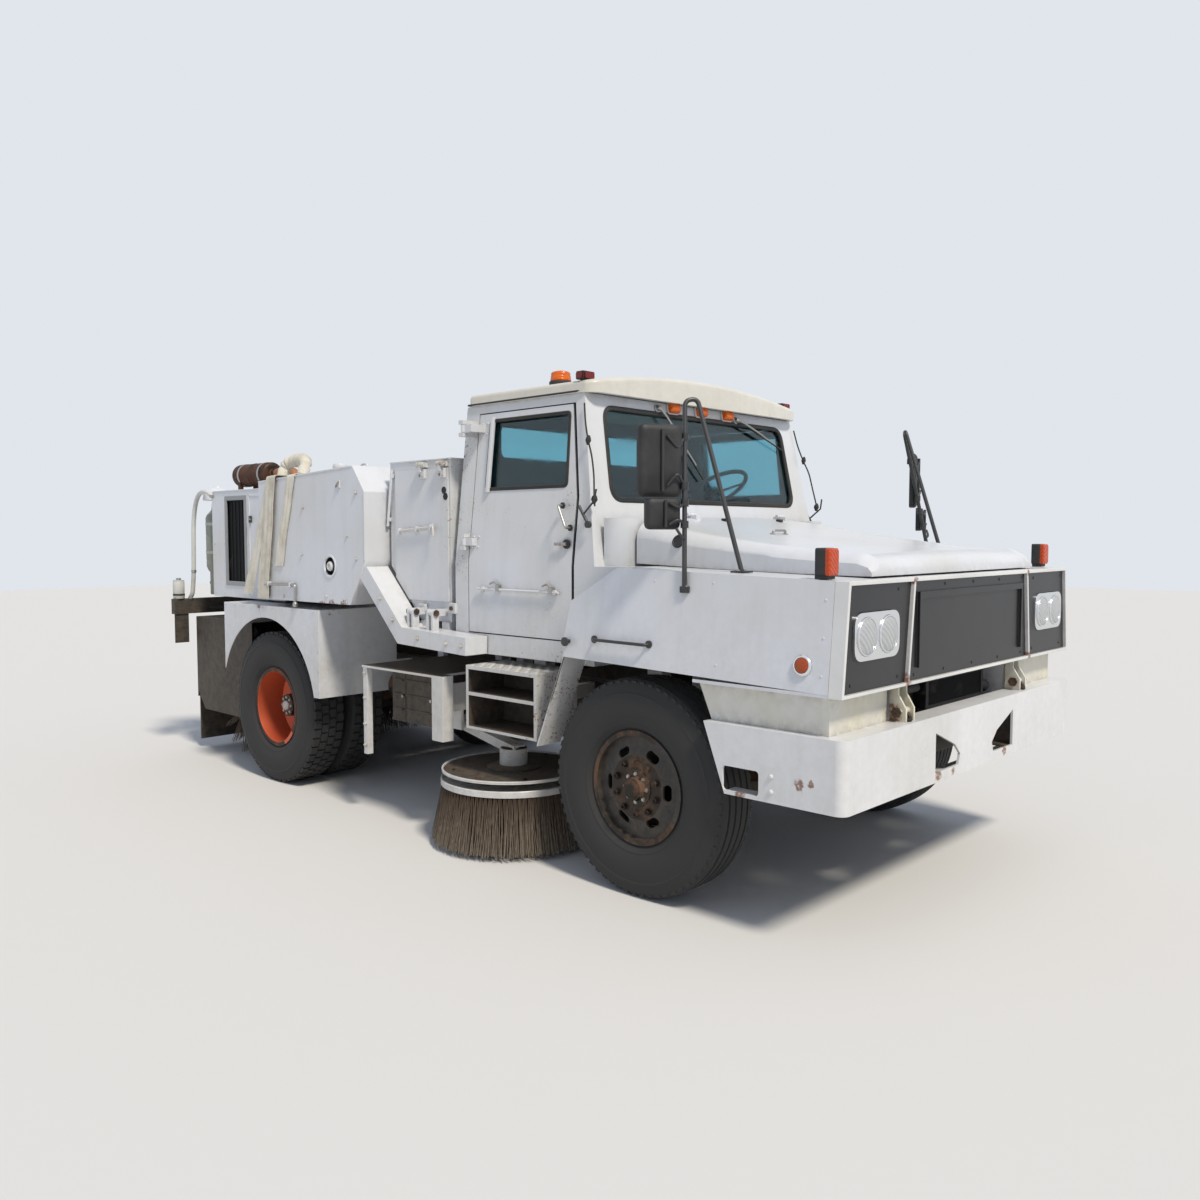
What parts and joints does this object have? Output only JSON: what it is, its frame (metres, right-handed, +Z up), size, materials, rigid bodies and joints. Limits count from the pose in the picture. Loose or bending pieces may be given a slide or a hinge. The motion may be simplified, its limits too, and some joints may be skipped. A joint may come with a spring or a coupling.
{
  "type": "street sweeper truck",
  "caption": "Conventional-cab street sweeper with a side-dump hopper, gutter brooms and a rear pick-up broom.",
  "frame": {"origin": "on the ground, under the middle of the overall box", "axes": "+X is the vehicle's left, -Y is forward, +Z is up"},
  "size_m": [2.7638, 6.1, 2.635],
  "materials": {
    "white_paint": "sprayed white enamel, chalked and stained",
    "black_paint": "satin black enamel",
    "chassis_paint": "dull chassis black with road dust",
    "cream_roof": "yellowed white gelcoat",
    "red_rim": "orange-red wheel enamel, dusty",
    "tyre_rubber": "dusty tyre rubber",
    "glass": "tinted safety glass",
    "lamp_glass": "clear and amber lamp lenses",
    "vinyl": "black vinyl seat cover",
    "soft_black": "moulded black plastic",
    "iron": "oily cast iron with rust",
    "rust": "rusted exhaust steel",
    "steel": "worn bare steel",
    "bristle": "worn broom fibre and flat wire",
    "canvas": "cream canvas lay-flat hose"
  },
  "bodies": {
    "chassis": {"air_cleaner": "white_paint", "broom_housing": "chassis_paint", "bumper": "white_paint", "cab_glass": "glass", "cab_roof": "cream_roof", "cab_shell": "white_paint", "conveyor": "chassis_paint", "dashboard": "soft_black", "engine": "iron", "engine_pod": "white_paint", "exhaust": "rust", "frame": "chassis_paint", "front_axle": "iron", "front_fenders": "white_paint", "grille_frame": "white_paint", "grille_panels": "black_paint", "hopper_cradle": "white_paint", "hose": "canvas", "lamps": "lamp_glass", "lower_front": "white_paint", "mirrors": "black_paint", "rear_axle": "iron", "rear_bar": "black_paint", "rear_engine": "iron", "rear_fenders": "white_paint", "seats": "vinyl", "side_decks": "white_paint", "water_tanks": "white_paint"},
    "hood_lid": {"hood": "white_paint"},
    "door_body_right": {"door_right": "white_paint", "door_glass_right": "glass"},
    "door_body_left": {"door_left": "white_paint", "door_glass_left": "glass"},
    "steering": {"steering_wheel": "soft_black"},
    "knuckle_body_right": {"knuckle_right": "iron"},
    "knuckle_body_left": {"knuckle_left": "iron"},
    "wheel_front_right": {"front_rim_right": "black_paint", "front_tyre_right": "tyre_rubber"},
    "wheel_front_left": {"front_rim_left": "black_paint", "front_tyre_left": "tyre_rubber"},
    "wheels_rear_right": {"rear_rims_right": "red_rim", "rear_tyres_right": "tyre_rubber"},
    "wheels_rear_left": {"rear_rims_left": "red_rim", "rear_tyres_left": "tyre_rubber"},
    "hopper_bin": {"hopper": "white_paint"},
    "hopper_door": {"dump_door": "white_paint"},
    "gutter_lift_right": {"gutter_arm_right": "steel"},
    "gutter_lift_left": {"gutter_arm_left": "steel"},
    "gutter_brush_right": {"gutter_broom_right": "bristle"},
    "gutter_brush_left": {"gutter_broom_left": "bristle"},
    "broom_lift": {"broom_arms": "chassis_paint"},
    "broom_reel": {"main_broom": "bristle"}
  },
  "joints": [
    {"name": "hood_open", "type": "hinge", "parent": "chassis", "child": "hood_lid", "pos_m": [0, -1.66, 1.812], "axis": [-1, 0, 0], "range_deg": [0, 50]},
    {"name": "door_right_open", "type": "hinge", "parent": "chassis", "child": "door_body_right", "pos_m": [-1.058, -0.552, 1.66], "axis": [0, 0, -1], "range_deg": [0, 70]},
    {"name": "door_left_open", "type": "hinge", "parent": "chassis", "child": "door_body_left", "pos_m": [1.058, -0.552, 1.66], "axis": [0, 0, 1], "range_deg": [0, 70]},
    {"name": "steer_right", "type": "hinge", "parent": "chassis", "child": "knuckle_body_right", "pos_m": [-0.93, -1.91, 0.52], "axis": [0, 0, 1], "range_deg": [-30, 30]},
    {"name": "steer_left", "type": "hinge", "parent": "chassis", "child": "knuckle_body_left", "pos_m": [0.93, -1.91, 0.52], "axis": [0, 0, 1], "range_deg": [-30, 30]},
    {"name": "steering_wheel_turn", "type": "hinge", "parent": "chassis", "child": "steering", "pos_m": [0.5, -1.105, 1.975], "axis": [0, 0.5299, 0.848], "range_deg": [-450, 450]},
    {"name": "roll_front_right", "type": "hinge", "parent": "knuckle_body_right", "child": "wheel_front_right", "pos_m": [-1.045, -1.91, 0.52], "axis": [1, 0, 0], "continuous": true},
    {"name": "roll_front_left", "type": "hinge", "parent": "knuckle_body_left", "child": "wheel_front_left", "pos_m": [1.045, -1.91, 0.52], "axis": [1, 0, 0], "continuous": true},
    {"name": "roll_rear_right", "type": "hinge", "parent": "chassis", "child": "wheels_rear_right", "pos_m": [-0.876, 1.42, 0.52], "axis": [1, 0, 0], "continuous": true},
    {"name": "roll_rear_left", "type": "hinge", "parent": "chassis", "child": "wheels_rear_left", "pos_m": [0.876, 1.42, 0.52], "axis": [1, 0, 0], "continuous": true},
    {"name": "hopper_tilt", "type": "hinge", "parent": "chassis", "child": "hopper_bin", "pos_m": [-1.13, -0.26, 1.262], "axis": [0, -1, 0], "range_deg": [0, 50]},
    {"name": "dump_door_open", "type": "hinge", "parent": "hopper_bin", "child": "hopper_door", "pos_m": [-1.062, -0.26, 2.112], "axis": [0, 1, 0], "range_deg": [0, 80]},
    {"name": "gutter_lift_right_raise", "type": "hinge", "parent": "chassis", "child": "gutter_lift_right", "pos_m": [-0.928, -0.33, 0.615], "axis": [-1, 0, 0], "range_deg": [0, 10]},
    {"name": "gutter_lift_left_raise", "type": "hinge", "parent": "chassis", "child": "gutter_lift_left", "pos_m": [0.928, -0.33, 0.615], "axis": [-1, 0, 0], "range_deg": [0, 10]},
    {"name": "gutter_spin_right", "type": "hinge", "parent": "gutter_lift_right", "child": "gutter_brush_right", "pos_m": [-0.92, -0.8, 0.37], "axis": [0, 0, 1], "continuous": true},
    {"name": "gutter_spin_left", "type": "hinge", "parent": "gutter_lift_left", "child": "gutter_brush_left", "pos_m": [0.92, -0.8, 0.37], "axis": [0, 0, 1], "continuous": true},
    {"name": "broom_raise", "type": "hinge", "parent": "chassis", "child": "broom_lift", "pos_m": [0, 2.07, 0.985], "axis": [1, 0, 0], "range_deg": [0, 9]},
    {"name": "broom_spin", "type": "hinge", "parent": "broom_lift", "child": "broom_reel", "pos_m": [0, 2.365, 0.381], "axis": [1, 0, 0], "continuous": true}
  ],
  "couplings": [
    {"joint": "steer_left", "follows": "steer_right", "ratio": 1},
    {"joint": "steering_wheel_turn", "follows": "steer_right", "ratio": 15}
  ]
}
